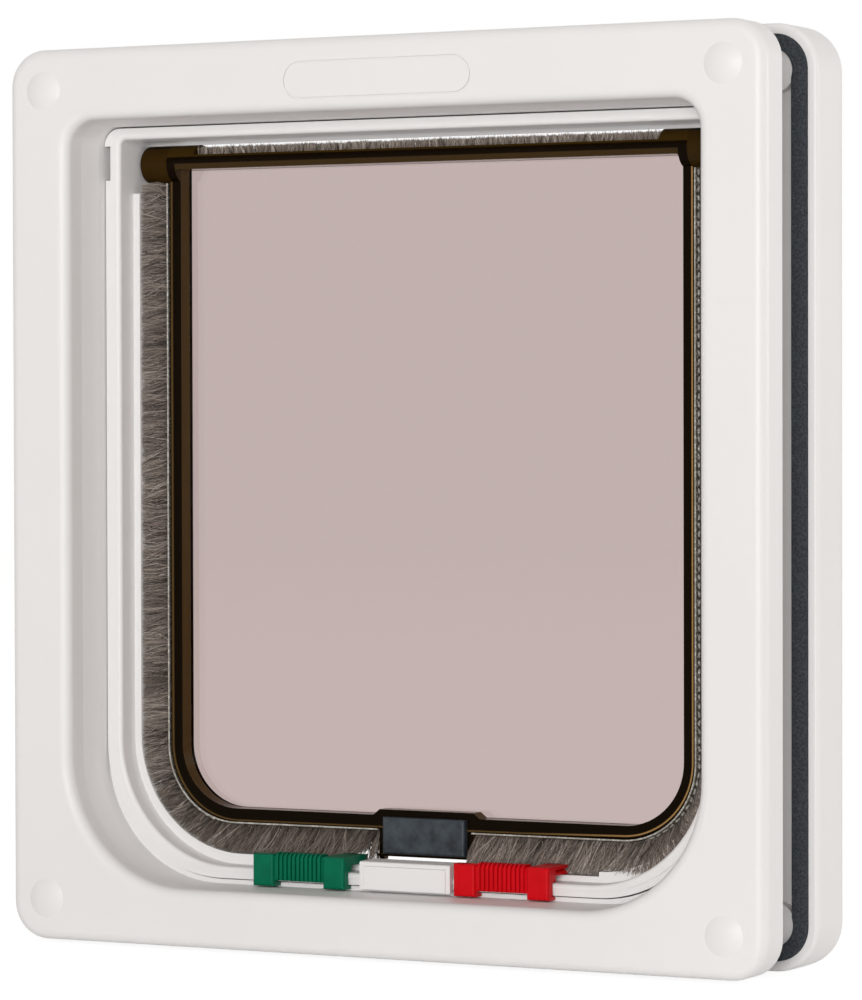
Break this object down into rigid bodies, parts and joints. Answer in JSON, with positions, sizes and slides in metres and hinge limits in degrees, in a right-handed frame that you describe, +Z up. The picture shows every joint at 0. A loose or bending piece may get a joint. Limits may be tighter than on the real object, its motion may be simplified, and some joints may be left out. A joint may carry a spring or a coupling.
{
  "type": "cat flap",
  "caption": "Cat flap with a smoked swinging panel, pile seals, lock slides, a magnet catch and a frame on each side of the door.",
  "frame": {"origin": "under the middle of the whole flap, level with its lowest edge", "axes": "+Z up, +Y through the door from the room to the weather side, +X to the right seen from the room"},
  "size_m": [0.236, 0.0553, 0.254],
  "materials": {
    "white_moulding": "moulded ABS, soft gloss",
    "foam": "closed-cell foam strip",
    "smoked_panel": "smoked clear polycarbonate",
    "dark_moulding": "moulded, satin",
    "magnet": "ferrite",
    "pile": "polypropylene pile on a woven backing",
    "green_moulding": "moulded, soft gloss",
    "red_moulding": "moulded, soft gloss",
    "steel": "zinc-plated steel"
  },
  "bodies": {
    "frame": {"inner_frame": "white_moulding", "outer_frame": "white_moulding", "foam_gasket": "foam", "catch_housing": "white_moulding", "catch_cover": "white_moulding", "catch_magnet": "magnet", "hinge_pin_left": "steel", "hinge_pin_right": "steel", "screw_top_left": "steel", "cap_top_left": "white_moulding", "screw_top_right": "steel", "cap_top_right": "white_moulding", "screw_bottom_left": "steel", "cap_bottom_left": "white_moulding", "screw_bottom_right": "steel", "cap_bottom_right": "white_moulding"},
    "flap": {"flap": "smoked_panel", "flap_magnet_holder": "dark_moulding", "flap_magnet": "magnet", "brush_left": "pile", "brush_right": "pile", "brush_top": "pile"},
    "green_slide": {"green_slide": "green_moulding"},
    "red_slide": {"red_slide": "red_moulding"}
  },
  "joints": [
    {"name": "flap_swing", "type": "hinge", "parent": "frame", "child": "flap", "pos_m": [0, 0.00715, 0.2214], "axis": [1, 0, 0], "range_deg": [-90, 90]},
    {"name": "green_lock", "type": "slide", "parent": "frame", "child": "green_slide", "axis": [1, 0, 0], "range_m": [0, 0.004]},
    {"name": "red_lock", "type": "slide", "parent": "frame", "child": "red_slide", "axis": [1, 0, 0], "range_m": [0, 0.004]}
  ]
}
